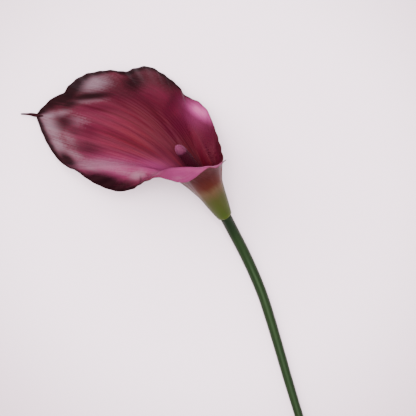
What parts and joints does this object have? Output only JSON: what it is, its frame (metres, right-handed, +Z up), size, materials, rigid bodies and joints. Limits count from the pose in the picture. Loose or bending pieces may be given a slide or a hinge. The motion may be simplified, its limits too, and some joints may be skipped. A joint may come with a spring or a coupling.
{
  "type": "calla lily flower",
  "caption": "Cut calla lily lying on a table: a rolled, wavy-edged spathe with a drawn-out tip round a floret-covered spadix, on a long gently bent stem.",
  "frame": {"origin": "centre of the footprint on the table, below everything", "axes": "+Z up from the table, +Y along the flower's length from the stem's cut end towards the bloom, +X towards the side of the stem's cut end"},
  "size_m": [0.1992, 0.3215, 0.0575],
  "materials": {
    "stem": "smooth, waxy green plant tissue, satin",
    "spathe": "burgundy petal tissue with near-black margins, fine veins and a soft sheen",
    "spadix": "matt, granular, lilac at the tip and dark plum below"
  },
  "bodies": {
    "root": {"stem": "stem", "spathe": "spathe", "spadix": "spadix"}
  },
  "joints": []
}
